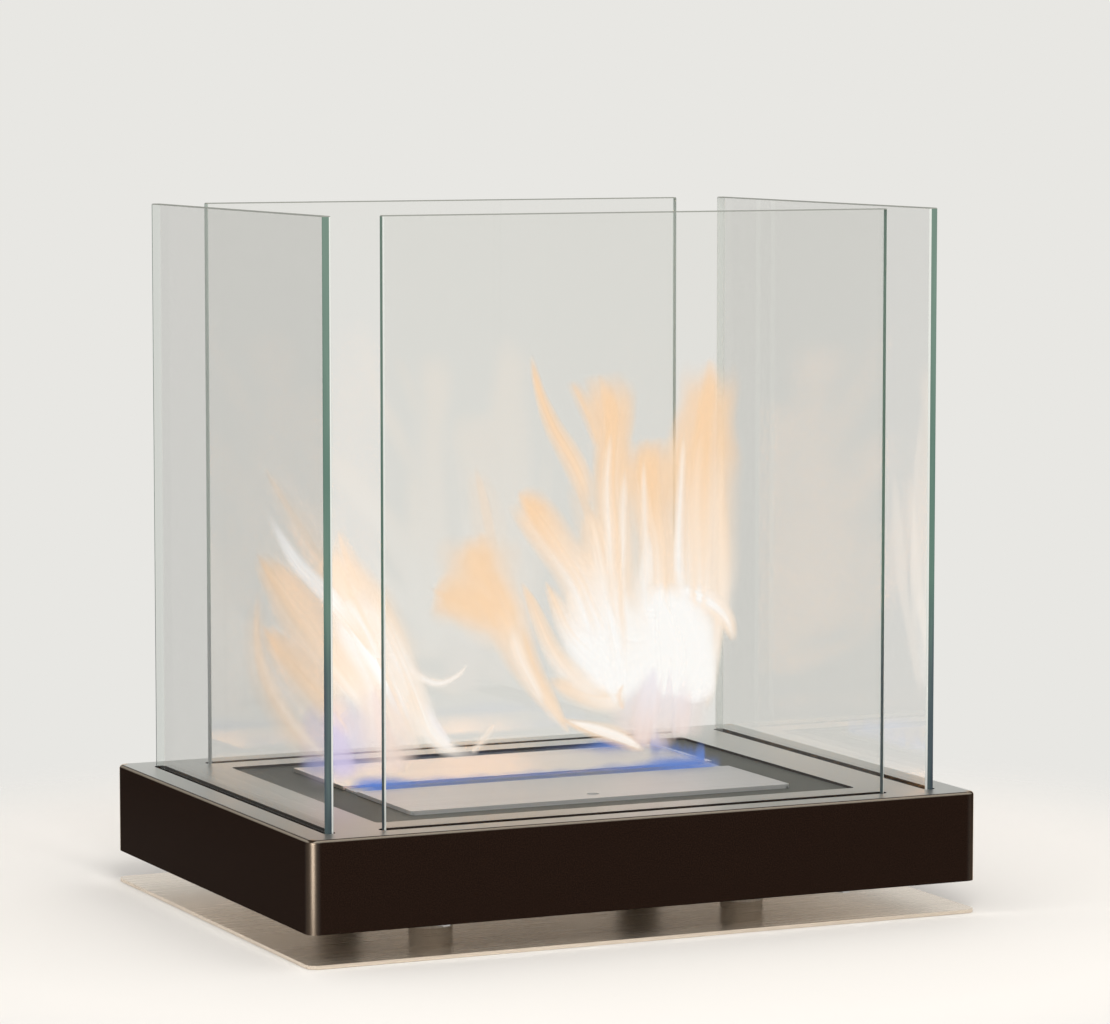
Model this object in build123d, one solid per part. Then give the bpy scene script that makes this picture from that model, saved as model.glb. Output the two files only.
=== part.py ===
"""Table-top bioethanol fireplace: four glass panes standing in a low steel casing with a drop-in burner.

Millimetres, +Z up. The origin is the middle of the base plate's underside, +X runs along the long side,
and the front is at -Y. Each function makes one piece, and the list at the end writes one file for each.
"""
from build123d import *
import os

os.makedirs("parts", exist_ok=True)

# ---------------------------------------------------------------- driving dimensions
# Base plate and the shadow gap above it
base_plate_thickness = 2.0
shadow_gap = 16.0
spacer_diameter = 24.0
spacer_inset = 10.5
base_stud_diameter = 5.0
base_stud_end = 1.5
base_nut_across_flats = 8.0
base_nut_height = 4.0

# Casing, folded from one sheet and open underneath
casing_length = 400.0
casing_depth = 300.0
casing_height = 50.0
casing_sheet = 1.5
casing_corner_radius = 6.0
casing_fold_radius = 2.0

# Bottom plate and the brackets that carry it
bottom_plate_thickness = 1.5
bottom_plate_recess = 1.0
bottom_plate_clearance = 0.3
bracket_thickness = 2.0
bracket_width = 36.0
bracket_leg = 14.0
bracket_bend_radius = 1.6
bracket_from_end = 80.0
bottom_screw_diameter = 4.0
bottom_screw_length = 5.0
bottom_screw_across_flats = 7.0
bottom_screw_head_height = 2.8

# Glass panes: how far they stand in from the casing's walls, and how far they reach
pane_thickness = 5.0
pane_height = 350.0
pane_setback = 17.0
pane_insert = 26.0
pane_edge_bevel = 0.5
open_corner_width = 28.0
side_pane_from_end = 20.0

# Slots, channels and rubber seats of the panes
slot_side_clearance = 1.0
slot_end_clearance = 2.5
channel_sheet = 1.25
channel_flange = 6.75
channel_end_lap = 6.0
channel_bend_radius = 0.8
gasket_floor = 3.0
gasket_side_clearance = 0.1
gasket_end_lap = 1.5
gasket_below_sheet = 0.5

# Cut-out in the casing, measured from the channels' flanges, and the dark frame under it
cutout_margin_x = 24.0
cutout_margin_y = 10.0
cutout_corner_radius = 3.0
frame_sheet = 1.5
frame_lap = 8.0
frame_collar_depth = 9.0
frame_stud_diameter = 3.0
frame_stud_end = 2.0
frame_stud_inset = 35.0
frame_nut_across_flats = 5.5
frame_nut_height = 2.4

# Burner, with the dark border that shows beyond its ends and its long sides
dark_border_ends = 29.5
dark_border_sides = 22.5
burner_corner_radius = 1.5
burner_sheet = 1.2
burner_slot_width = 21.0
throat_end_room = 2.8
throat_margin = 1.0
throat_depth = 6.0
throat_corner_radius = 3.0
guide_clearance = 0.3
closing_clearance = 0.3
lip_height = 2.1
tool_hole_diameter = 7.0
tool_hole_from_edge = 14.0
tank_inset = 11.0
tank_under_room = 4.5
tank_wall = 1.0
tank_corner_radius = 10.0
tank_clearance = 1.5
fibre_height = 20.0
fibre_clearance = 1.0
screen_sheet = 0.8
screen_hole_across = 7.0
screen_hole_pitch = 10.0

# Holes that a screw or stud passes through freely are wider than it by this much on each side
hole_clearance = 0.25

# ---------------------------------------------------------------- heights and lines worked out from them
casing_bottom = base_plate_thickness + shadow_gap
casing_top = casing_bottom + casing_height
sheet_underside = casing_top - casing_sheet
bottom_plate_underside = casing_bottom + bottom_plate_recess
bottom_plate_top = bottom_plate_underside + bottom_plate_thickness
base_stud_top = bottom_plate_top + base_nut_height + base_stud_end

slot_width = pane_thickness + 2 * slot_side_clearance
pane_bottom = casing_top - pane_insert
gasket_bottom = pane_bottom - gasket_floor
gasket_top = sheet_underside - gasket_below_sheet
pane_line_x = casing_length / 2 - pane_setback - pane_thickness / 2
pane_line_y = casing_depth / 2 - pane_setback - pane_thickness / 2
front_pane_width = 2 * (pane_line_x - pane_thickness / 2 - open_corner_width)
side_pane_width = casing_depth - 2 * side_pane_from_end

channel_half_width = slot_width / 2 + channel_sheet + channel_flange
cutout_length = 2 * (pane_line_x - channel_half_width - cutout_margin_x)
cutout_depth = 2 * (pane_line_y - channel_half_width - cutout_margin_y)
burner_length = cutout_length - 2 * dark_border_ends
burner_depth = cutout_depth - 2 * dark_border_sides

deck_underside = sheet_underside
deck_top = deck_underside + burner_sheet
burner_top = deck_top + burner_sheet
deck_length = burner_length - 2 * (burner_sheet + guide_clearance)
tank_length = burner_length - 2 * tank_inset
tank_depth = burner_depth - 2 * tank_inset
tank_bottom = base_stud_top + tank_under_room
tank_floor_top = tank_bottom + tank_wall
fibre_top = tank_floor_top + fibre_height
throat_length = tank_length - 2 * (tank_wall + throat_end_room + burner_sheet)
tank_opening_length = tank_length + 2 * tank_clearance
tank_opening_depth = tank_depth + 2 * tank_clearance
shutter_depth = (burner_depth - burner_slot_width) / 2
shutter_travel = burner_slot_width - closing_clearance

# Each pane's width and the place of its middle line; side panes are turned to run along Y.
pane_places = {
    "front": (front_pane_width, Location((0, -pane_line_y, 0))),
    "back": (front_pane_width, Location((0, pane_line_y, 0))),
    "left": (side_pane_width, Location((-pane_line_x, 0, 0), (0, 0, 90))),
    "right": (side_pane_width, Location((pane_line_x, 0, 0), (0, 0, 90))),
}
# The spacers stand in the corners of the tank's opening, where their nuts can be reached.
spacer_places = GridLocations(
    tank_opening_length - 2 * spacer_inset, tank_opening_depth - 2 * spacer_inset, 2, 2).locations


# ---------------------------------------------------------------- small helpers
def at_height(z):
    """A level plane at height z."""
    return Plane.XY.offset(z)


def rounded_plate(length, depth, radius, bottom, top):
    """A flat plate with rounded corners between two heights."""
    return extrude(at_height(bottom) * RectangleRounded(length, depth, radius), top - bottom)


def along_x(profile, length):
    """A bar with the given YZ profile, centred on X = 0."""
    return extrude(Plane.YZ * profile, length / 2, both=True)


def level_rectangle(width, bottom, top):
    """A rectangle of a YZ profile, centred on Y = 0 between two heights."""
    return Pos(0, (bottom + top) / 2) * Rectangle(width, top - bottom)


def round_bar(diameter, bottom, top):
    """An upright round bar between two heights, which also cuts round holes."""
    return extrude(at_height(bottom) * Circle(diameter / 2), top - bottom)


def hexagon_prism(across_flats, height):
    """A hexagonal bar standing on height 0."""
    return extrude(RegularPolygon(across_flats / 2, 6, major_radius=False), height)


def nut(thread_diameter, across_flats, height):
    """A hexagon nut standing on height 0."""
    return hexagon_prism(across_flats, height) - round_bar(thread_diameter, 0, height)


def stud_hole(diameter, bottom, top):
    """The hole that a screw or stud passes through freely."""
    return round_bar(diameter + 2 * hole_clearance, bottom, top)


def bracket_places():
    """Places of the brackets inside the long walls: each one's local -Y side lies on the wall."""
    wall_y = casing_depth / 2 - casing_sheet
    end_x = casing_length / 2 - bracket_from_end
    ends = (-end_x, end_x)
    front = [Location((x, -wall_y, 0)) for x in ends]
    back = [Location((x, wall_y, 0), (0, 0, 180)) for x in ends]
    return front + back


def bracket_screw_places():
    """The screw of each bracket stands in the middle of its level leg."""
    return [place * Pos(0, bracket_leg / 2, 0) for place in bracket_places()]


def frame_stud_places():
    """Studs of the dark frame, in the middle of its lap under the casing's sheet."""
    spacing_x, spacing_y = cutout_length - 2 * frame_stud_inset, cutout_depth + frame_lap
    return GridLocations(spacing_x, spacing_y, 2, 2).locations


def copies(name, piece, places):
    """Like pieces that share one file, kept as separate solids."""
    return Compound(label=name, children=[place * piece for place in places])


# ---------------------------------------------------------------- base
def base_plate():
    """Brushed plate as large as the casing, lying flat on the table."""
    return rounded_plate(casing_length, casing_depth, casing_corner_radius, 0, base_plate_thickness)


def base_studs():
    """Threaded studs welded to the base plate, which reach up through the spacers and the bottom plate."""
    stud = round_bar(base_stud_diameter, base_plate_thickness, base_stud_top)
    return copies("base_studs", stud, spacer_places)


def spacers():
    """Turned sleeves over the studs, which keep the shadow gap open."""
    sleeve = round_bar(spacer_diameter, base_plate_thickness, bottom_plate_underside)
    sleeve -= stud_hole(base_stud_diameter, base_plate_thickness, bottom_plate_underside)
    return copies("spacers", sleeve, spacer_places)


def spacer_nuts():
    """Nuts on the bottom plate, reached through the burner's opening when the burner is out."""
    spacer_nut = nut(base_stud_diameter, base_nut_across_flats, base_nut_height)
    return copies("spacer_nuts", Pos(0, 0, bottom_plate_top) * spacer_nut, spacer_places)


def bottom_plate():
    """Sheet that closes the casing from below, a little above its lower edge."""
    inset = 2 * (casing_sheet + bottom_plate_clearance)
    radius = casing_corner_radius - casing_sheet
    length, depth = casing_length - inset, casing_depth - inset
    plate = rounded_plate(length, depth, radius, bottom_plate_underside, bottom_plate_top)
    hole = stud_hole(base_stud_diameter, bottom_plate_underside, bottom_plate_top)
    plate -= [place * hole for place in spacer_places]
    hole = stud_hole(bottom_screw_diameter, bottom_plate_underside, bottom_plate_top)
    return plate - [place * hole for place in bracket_screw_places()]


def bottom_screws():
    """Hexagon screws up through the bottom plate into the brackets."""
    head = Pos(0, 0, -bottom_screw_head_height) * hexagon_prism(
        bottom_screw_across_flats, bottom_screw_head_height)
    screw = head + round_bar(bottom_screw_diameter, 0, bottom_screw_length)
    return copies("bottom_screws", Pos(0, 0, bottom_plate_underside) * screw, bracket_screw_places())


# ---------------------------------------------------------------- casing
def casing():
    """Folded sheet shell, open underneath, with the burner's cut-out and a slot for each pane."""
    block = rounded_plate(casing_length, casing_depth, casing_corner_radius, casing_bottom, casing_top)
    block = fillet(block.faces().sort_by(Axis.Z)[-1].edges(), casing_fold_radius)
    inner_length, inner_depth = casing_length - 2 * casing_sheet, casing_depth - 2 * casing_sheet
    inner_radius = casing_corner_radius - casing_sheet
    shell = block - rounded_plate(inner_length, inner_depth, inner_radius, casing_bottom, sheet_underside)
    shell -= rounded_plate(cutout_length, cutout_depth, cutout_corner_radius, sheet_underside, casing_top)
    for width, place in pane_places.values():
        slot = at_height(sheet_underside) * SlotOverall(width + 2 * slot_end_clearance, slot_width)
        shell -= place * extrude(slot, casing_sheet)
    return shell


def casing_brackets():
    """Angle brackets welded inside the walls; the bottom plate is screwed up against their level legs."""
    wall_leg = Pos(bracket_thickness / 2, bracket_leg / 2) * Rectangle(bracket_thickness, bracket_leg)
    level_leg = Pos(bracket_leg / 2, bracket_thickness / 2) * Rectangle(bracket_leg, bracket_thickness)
    angle = wall_leg + level_leg
    inner_corner = angle.vertices().sort_by_distance(Vector(bracket_thickness, bracket_thickness))[0]
    angle = fillet(inner_corner, bracket_bend_radius)
    bar = along_x(angle, bracket_width)
    bar -= Pos(0, bracket_leg / 2, 0) * round_bar(bottom_screw_diameter, 0, bracket_thickness)
    return copies("casing_brackets", Pos(0, 0, bottom_plate_top) * bar, bracket_places())


def pane_channel(side):
    """Top-hat channel under a slot, welded to the sheet by its two flanges."""
    width, place = pane_places[side]
    outer_width = slot_width + 2 * channel_sheet
    web = level_rectangle(outer_width, gasket_bottom - channel_sheet, sheet_underside)
    web = fillet(web.vertices().group_by(Axis.Y)[0], channel_bend_radius)
    flanges = level_rectangle(2 * channel_half_width, sheet_underside - channel_sheet, sheet_underside)
    trough = level_rectangle(slot_width, gasket_bottom, sheet_underside)
    length = width + 2 * (slot_end_clearance + channel_end_lap)
    return place * along_x(web + flanges - trough, length)


def pane_gasket(side):
    """Rubber U strip in the channel that the pane's lower edge stands in."""
    width, place = pane_places[side]
    groove_width = pane_thickness + 2 * gasket_side_clearance
    strip = level_rectangle(slot_width, gasket_bottom, gasket_top)
    groove = level_rectangle(groove_width, pane_bottom, gasket_top)
    return place * along_x(strip - groove, width + 2 * gasket_end_lap)


def pane(side):
    """Clear glass pane with ground edges."""
    width, place = pane_places[side]
    sheet = Box(width, pane_thickness, pane_height, align=(Align.CENTER, Align.CENTER, Align.MIN))
    return place * Pos(0, 0, pane_bottom) * chamfer(sheet.edges(), pane_edge_bevel)


# ---------------------------------------------------------------- dark frame round the burner
def surround_frame():
    """Sheet frame hung under the casing's cut-out, with a collar that the tank drops through."""
    length, depth = cutout_length + 2 * frame_lap, cutout_depth + 2 * frame_lap
    opening_length, opening_depth = tank_opening_length, tank_opening_depth
    opening_radius = tank_corner_radius + tank_clearance
    top, bottom = sheet_underside, sheet_underside - frame_collar_depth
    frame = rounded_plate(length, depth, cutout_corner_radius + frame_lap, top - frame_sheet, top)
    collar_length, collar_depth = opening_length + 2 * frame_sheet, opening_depth + 2 * frame_sheet
    frame += rounded_plate(collar_length, collar_depth, opening_radius + frame_sheet, bottom, top)
    frame -= rounded_plate(opening_length, opening_depth, opening_radius, bottom, top)
    hole = stud_hole(frame_stud_diameter, top - frame_sheet, top)
    return frame - [place * hole for place in frame_stud_places()]


def surround_studs():
    """Studs welded to the casing's sheet, which the frame hangs on."""
    length = frame_sheet + frame_nut_height + frame_stud_end
    stud = round_bar(frame_stud_diameter, sheet_underside - length, sheet_underside)
    return copies("surround_studs", stud, frame_stud_places())


def surround_nuts():
    """Nuts that hold the frame up against the casing's sheet."""
    frame_nut = nut(frame_stud_diameter, frame_nut_across_flats, frame_nut_height)
    height = sheet_underside - frame_sheet - frame_nut_height
    return copies("surround_nuts", Pos(0, 0, height) * frame_nut, frame_stud_places())


# ---------------------------------------------------------------- burner
def burner_tank():
    """Open fuel box under the deck, a wall with rounded corners welded to a flat floor."""
    outside = rounded_plate(tank_length, tank_depth, tank_corner_radius, tank_bottom, deck_underside)
    inner_length, inner_depth = tank_length - 2 * tank_wall, tank_depth - 2 * tank_wall
    inner_radius = tank_corner_radius - tank_wall
    return outside - rounded_plate(inner_length, inner_depth, inner_radius, tank_floor_top, deck_underside)


def burner_deck():
    """Lid sheet of the tank, with a collar turned down round its flame slot."""
    front, back = -burner_depth / 2, burner_depth / 2 - burner_sheet
    sheet = Pos(0, (front + back) / 2, 0) * rounded_plate(
        deck_length, back - front, burner_corner_radius, deck_underside, deck_top)
    throat_bottom = deck_underside - throat_depth
    throat_width = burner_slot_width - 2 * throat_margin
    collar_length, collar_width = throat_length + 2 * burner_sheet, throat_width + 2 * burner_sheet
    collar_radius = throat_corner_radius + burner_sheet
    sheet += rounded_plate(collar_length, collar_width, collar_radius, throat_bottom, deck_top)
    return sheet - rounded_plate(throat_length, throat_width, throat_corner_radius, throat_bottom, deck_top)


def lipped_cover(outline, hollow):
    """A cover sheet on the deck, with lips turned down past the deck's edges."""
    lip_bottom = burner_top - lip_height
    sheet = extrude(at_height(lip_bottom) * outline, lip_height)
    return sheet - extrude(at_height(lip_bottom) * hollow, lip_height - burner_sheet)


def back_cover():
    """Fixed cover behind the flame slot, with lips on its sides and back."""
    middle = (burner_depth - shutter_depth) / 2
    outline = Pos(0, middle) * Rectangle(burner_length, shutter_depth)
    outline = fillet(outline.vertices().group_by(Axis.Y)[-1], burner_corner_radius)
    hollow = Pos(0, middle - burner_sheet) * Rectangle(burner_length - 2 * burner_sheet, shutter_depth)
    return lipped_cover(outline, hollow)


def shutter():
    """Sliding cover in front of the flame slot; a hook in its round hole pushes it back over the slot."""
    middle = -(burner_depth - shutter_depth) / 2
    outline = Pos(0, middle) * Rectangle(burner_length, shutter_depth)
    outline = fillet(outline.vertices().group_by(Axis.Y)[0], burner_corner_radius)
    hollow = Pos(0, middle) * Rectangle(burner_length - 2 * burner_sheet, shutter_depth)
    tool_hole = Pos(0, -burner_depth / 2 + tool_hole_from_edge, 0) * round_bar(
        tool_hole_diameter, deck_top, burner_top)
    return lipped_cover(outline, hollow) - tool_hole


def tank_filling(bottom, top):
    """A plate that fits in the tank with an even clearance to its wall."""
    inset = tank_wall + fibre_clearance
    length, depth = tank_length - 2 * inset, tank_depth - 2 * inset
    return rounded_plate(length, depth, tank_corner_radius - inset, bottom, top)


def fibre_block():
    """Ceramic fibre block that soaks up the fuel."""
    return tank_filling(tank_floor_top, fibre_top)


def flame_screen():
    """Perforated sheet laid on the fibre block, with rows of hexagonal holes under the flame slot."""
    row_step = screen_hole_pitch * 3 ** 0.5 / 2
    rows = int(burner_slot_width // row_step)
    columns = int(throat_length // screen_hole_pitch) - 1
    hole = Pos(0, 0, fibre_top) * Rot(0, 0, 30) * hexagon_prism(screen_hole_across, screen_sheet)
    screen = tank_filling(fibre_top, fibre_top + screen_sheet)
    for row in range(rows):
        shift = (row % 2 - 0.5) * screen_hole_pitch / 2
        line = Pos(shift, (row - (rows - 1) / 2) * row_step)
        places = GridLocations(screen_hole_pitch, 0, columns, 1).locations
        screen -= [line * place * hole for place in places]
    return screen


# ---------------------------------------------------------------- one file for each piece
pieces = {
    "base_plate": base_plate(),
    "base_studs": base_studs(),
    "spacers": spacers(),
    "spacer_nuts": spacer_nuts(),
    "bottom_plate": bottom_plate(),
    "bottom_screws": bottom_screws(),
    "casing": casing(),
    "casing_brackets": casing_brackets(),
    "surround_frame": surround_frame(),
    "surround_studs": surround_studs(),
    "surround_nuts": surround_nuts(),
    "burner_tank": burner_tank(),
    "burner_deck": burner_deck(),
    "back_cover": back_cover(),
    "shutter": shutter(),
    "fibre_block": fibre_block(),
    "flame_screen": flame_screen(),
}
for side in pane_places:
    pieces[side + "_channel"] = pane_channel(side)
    pieces[side + "_gasket"] = pane_gasket(side)
    pieces[side + "_pane"] = pane(side)

for name, piece in pieces.items():
    export_step(piece, f"parts/{name}.step")
print("pieces:", len(pieces), "shutter travel:", shutter_travel)
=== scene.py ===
"""Looks of the table-top bioethanol fireplace: finishes, glass, flames and a plain stage."""
import math

import bpy
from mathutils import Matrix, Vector, noise


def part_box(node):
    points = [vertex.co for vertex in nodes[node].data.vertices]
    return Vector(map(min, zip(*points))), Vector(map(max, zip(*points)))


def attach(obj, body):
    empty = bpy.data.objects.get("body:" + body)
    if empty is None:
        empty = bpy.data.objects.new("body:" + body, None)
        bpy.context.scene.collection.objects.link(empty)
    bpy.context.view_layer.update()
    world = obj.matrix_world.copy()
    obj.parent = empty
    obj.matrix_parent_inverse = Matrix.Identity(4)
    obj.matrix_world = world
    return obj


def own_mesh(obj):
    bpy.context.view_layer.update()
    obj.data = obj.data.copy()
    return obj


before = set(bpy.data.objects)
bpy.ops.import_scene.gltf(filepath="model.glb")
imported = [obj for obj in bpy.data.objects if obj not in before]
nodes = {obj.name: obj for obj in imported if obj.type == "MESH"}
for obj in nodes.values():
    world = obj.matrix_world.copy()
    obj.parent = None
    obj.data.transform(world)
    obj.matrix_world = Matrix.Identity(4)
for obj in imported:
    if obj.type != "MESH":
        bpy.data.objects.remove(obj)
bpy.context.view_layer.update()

bl_info = {
    "name": "Bioethanol fireplace",
    "version": (1, 0, 0),
    "blender": (4, 5, 0),
    "location": "3D View > Sidebar > Fireplace",
    "description": "Finishes, glass, flames and stage of a table-top bioethanol fireplace",
    "category": "Object",
}

# -------- places read from the model, in metres
MM = 0.001
CM_PER_MM = 0.1
pane_names = ("front", "back", "left", "right")
pane_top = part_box("front_pane")[1].z
casing_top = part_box("casing")[1].z
slot_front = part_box("shutter")[1].y
slot_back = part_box("back_cover")[0].y
burner_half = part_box("back_cover")[1].x
burner_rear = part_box("back_cover")[1].y
burner_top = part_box("back_cover")[1].z
deck_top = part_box("burner_deck")[1].z

# -------- sizes of wear, glass, brushing and floor, in metres
ground_width = 0.55 * MM  # of the ground bevel round each pane
fold_highlight_width = 1.5 * MM  # width of the painted highlight along the casing's top fold
corner_worn = 7.0 * MM  # width that hands polish at its upright corners
floor_size = 1.2
floor_drop = 0.2 * MM  # how far the floor lies under the base plate
hole_margin = 3.0 * MM  # how far the floor's opening stays inside the plate that covers it
lengthways, upright = (4.0, 900.0, 900.0), (900.0, 900.0, 6.0)  # streaks a metre, brushed along X or Z
clear_layers = 128  # of glass and flame that a ray may pass

# -------- petals of the flames, in millimetres
petal_sides, petal_rings = 12, 18  # faces round and along a petal
petal_depth = 0.8  # thickness of a petal
petal_least = 0.2  # least width of a petal
petal_cap = 0.1  # share of its length over which each end rounds off
petal_step = 0.02  # share of its length over which its direction is taken
petal_turns = (-25.0, 35.0, 95.0)  # how the crossed petals of a tongue stand, in degrees
petal_wander, petal_eddy = 3.0, 45.0  # how far eddies shift a petal, and how large they are
petal_shift, tongue_shift = 7.0, 3.7  # how far apart the patterns of petals and of tongues are taken

# -------- lamps, in metres
key_place, key_size, key_colour = (-0.35, -1.75, 1.9), 1.3, (1.0, 0.98, 0.95)
strip_place, strip_size, strip_colour = (-1.83, -1.62, 0.35), (1.1, 1.6), (1.0, 0.97, 0.93)
backdrop_rise = 0.12  # how far the bright backdrop's middle lies above the horizon

# -------- curtains of blue flame, in metres
curtain_inset = 2 * MM  # from the ends and lips of the slot
curtain_faces = (90, 8)  # along and up a curtain
curtain_wave, curtain_ripple = 25 * MM, 3 * MM  # length and height of its waves
curtain_wall = 0.4 * MM


# -------- shader maths
class Value:
    """An output of a shader node, on which maths reads as an ordinary expression."""

    def __init__(self, tree, socket):
        self.tree, self.socket = tree, socket

    def maths(self, operation, *others, clamp=False):
        inputs = dict(enumerate((self,) + others))
        return self.tree.node("ShaderNodeMath", {"operation": operation, "use_clamp": clamp}, inputs)

    def __add__(self, other):
        return self.maths("ADD", other)

    __radd__ = __add__

    def __sub__(self, other):
        return self.maths("SUBTRACT", other)

    def __rsub__(self, other):
        return self.tree.node("ShaderNodeMath", {"operation": "SUBTRACT"}, {0: other, 1: self})

    def __mul__(self, other):
        return self.maths("MULTIPLY", other)

    __rmul__ = __mul__

    def __pow__(self, other):
        return self.maths("POWER", other)

    def __gt__(self, other):
        return self.maths("GREATER_THAN", other)

    def __abs__(self):
        return self.maths("ABSOLUTE")

    def either(self, other):
        """The larger of two masks."""
        return self.maths("MAXIMUM", other)

    def limited(self):
        """Kept between 0 and 1."""
        return self.maths("ADD", 0.0, clamp=True)

    def rising(self, low, high):
        """0 below low, 1 above high, and smooth between them."""
        inputs = {"Value": self, "From Min": low, "From Max": high}
        return self.tree.node("ShaderNodeMapRange", {"interpolation_type": "SMOOTHSTEP"}, inputs)

    def near(self, end, width):
        """1 within half a width of an end, 0 further in than a whole width."""
        return self.rising(end - width, end - width / 2)

    def about(self, middle, spread):
        """A mask of 0 to 1 as a number up to half a spread either side of a middle."""
        return middle - spread / 2 + spread * self


class Shading:
    """A node tree under construction, for a finish or for the world."""

    def __init__(self, tree):
        self.tree = tree
        tree.nodes.clear()

    def node(self, kind, settings=None, inputs=None, output=0):
        """Adds a node: its settings first, then the values or links of its sockets."""
        made = self.tree.nodes.new(kind)
        for name, value in (settings or {}).items():
            if name == "stops":
                self.stops(made.color_ramp, value)
            else:
                setattr(made, name, value)
        for name, value in (inputs or {}).items():
            if isinstance(value, Value):
                self.tree.links.new(value.socket, made.inputs[name])
            else:
                made.inputs[name].default_value = value
        return Value(self, made.outputs[output]) if len(made.outputs) else made

    def stops(self, ramp, stops):
        """Gives a colour ramp its stops, as (place, colour)."""
        while len(ramp.elements) < len(stops):
            ramp.elements.new(0.5)
        for element, (place, colour) in zip(ramp.elements, stops):
            element.position, element.color = place, colour

    def place(self):
        """The point on the piece, in metres."""
        return self.node("ShaderNodeTexCoord", output="Object")

    def axes(self, vector):
        """The three numbers of a vector."""
        split = self.node("ShaderNodeSeparateXYZ", inputs={0: vector}).socket.node
        return [Value(self, socket) for socket in split.outputs]

    def stretched(self, vector, scale):
        """A vector with each axis scaled."""
        return self.node("ShaderNodeVectorMath", {"operation": "MULTIPLY"}, {0: vector, 1: scale})

    def noise(self, vector, scale, detail=2.0, roughness=0.5):
        inputs = {"Vector": vector, "Scale": scale, "Detail": detail, "Roughness": roughness}
        return self.node("ShaderNodeTexNoise", inputs=inputs)

    def blend(self, share, first, second):
        """A colour between two others."""
        return self.node("ShaderNodeMix", {"data_type": "RGBA"}, {0: share, 6: first, 7: second}, output=2)

    def shades(self, share, colour, darker, lighter):
        """A colour that rises from a darker to a lighter factor with a share."""
        return self.blend(share, opaque(colour, darker), opaque(colour, lighter))

    def ramp(self, share, places, colours):
        """A colour that runs through several, each at its place, as a share rises."""
        stops = [(place, opaque(colour)) for place, colour in zip(places, colours)]
        return self.node("ShaderNodeValToRGB", {"stops": stops}, {0: share})

    def bump(self, height, distance, strength):
        inputs = {"Height": height, "Distance": distance, "Strength": strength}
        return self.node("ShaderNodeBump", inputs=inputs)

    def principled(self, **sockets):
        """The main surface shader. Socket names are given with _ for a space."""
        names = {name.replace("_", " "): value for name, value in sockets.items()}
        return self.node("ShaderNodeBsdfPrincipled", inputs=names)

    def mixed(self, share, first, second):
        return self.node("ShaderNodeMixShader", inputs={0: share, 1: first, 2: second})

    def clear(self, colour=(1, 1, 1, 1)):
        return self.node("ShaderNodeBsdfTransparent", inputs={"Color": colour})


class Finish(Shading):
    """One procedural material."""

    def __init__(self, name):
        self.material = bpy.data.materials.new(name)
        self.material.use_nodes = True
        super().__init__(self.material.node_tree)

    def done(self, surface):
        self.node("ShaderNodeOutputMaterial", inputs={"Surface": surface})
        return self.material

    def glowing(self, thick, light):
        """A gas that glows where it is thick, and isn't used as a lamp."""
        self.material.cycles.emission_sampling = "NONE"
        return self.done(self.mixed(thick.limited(), self.clear(), light))


def opaque(colour, factor=1.0):
    """A colour of a property, with alpha 1, made lighter or darker by a factor."""
    return tuple(min(1.0, part * factor) for part in colour) + (1.0,)


def dress(names, material):
    """Puts a finish on nodes of the model."""
    for name in names:
        node = nodes[name]
        node.data.materials.clear()
        node.data.materials.append(material)


# -------- finishes
def powder_coat(looks):
    """Finely textured dark coat, glossy at a slant, with a highlight painted in pale colour along the
    casing's top fold.
    """
    finish = Finish("casing_powder_coat")
    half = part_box("casing")[1]
    place = finish.place()
    x, y, z = finish.axes(place)
    grain = finish.noise(place, scale=1500.0, detail=3.0, roughness=0.6)
    cloud = finish.noise(place, scale=18.0)
    at_fold = abs(x).near(half.x, fold_highlight_width).either(abs(y).near(half.y, fold_highlight_width))
    # Painted highlight: a pale coat colour along the top fold stands in for the light that the fold catches.
    fold_highlight = at_fold * z.near(half.z, fold_highlight_width) * grain.about(0.85, spread=0.5)
    colour = finish.shades(grain.rising(0.35, 0.7), looks.coat, 0.6, 1.6)
    colour = finish.blend(fold_highlight.limited(), colour, opaque(looks.coat_fold_highlight))
    relief = finish.bump(grain, distance=0.03 * MM, strength=0.2)
    dull = finish.principled(Base_Color=colour, Roughness=0.6, Specular_IOR_Level=0.0, Normal=relief)
    corner = abs(x).near(half.x, corner_worn) * abs(y).near(half.y, corner_worn)
    tint = finish.blend(corner, opaque(looks.coat_sheen), opaque(looks.corner_sheen))
    sheen = {"Color": tint, "Roughness": cloud.about(looks.coat_roughness, spread=0.06), "Normal": relief}
    glossy = finish.node("ShaderNodeBsdfGlossy", inputs=sheen)
    slant = finish.node("ShaderNodeFresnel", inputs={"IOR": 1.5})
    share = looks.coat_satin + looks.coat_corner * corner
    share = share + looks.coat_gloss * slant ** looks.coat_slant * grain.about(1.0, spread=0.3)
    return finish.done(finish.mixed(share.limited(), dull, glossy))


def heatproof_paint(name, colour, roughness, gloss=0.4):
    """Matt heat-proof paint with a little dust in it."""
    finish = Finish(name)
    place = finish.place()
    dust = finish.noise(place, scale=900.0, detail=4.0, roughness=0.7)
    cloud = finish.noise(place, scale=25.0, detail=3.0)
    return finish.done(finish.principled(
        Base_Color=finish.shades(cloud, colour, 0.85, 1.2), Roughness=dust.about(roughness, spread=0.12),
        Specular_IOR_Level=gloss, Normal=finish.bump(dust, distance=0.04 * MM, strength=0.3)))


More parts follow.
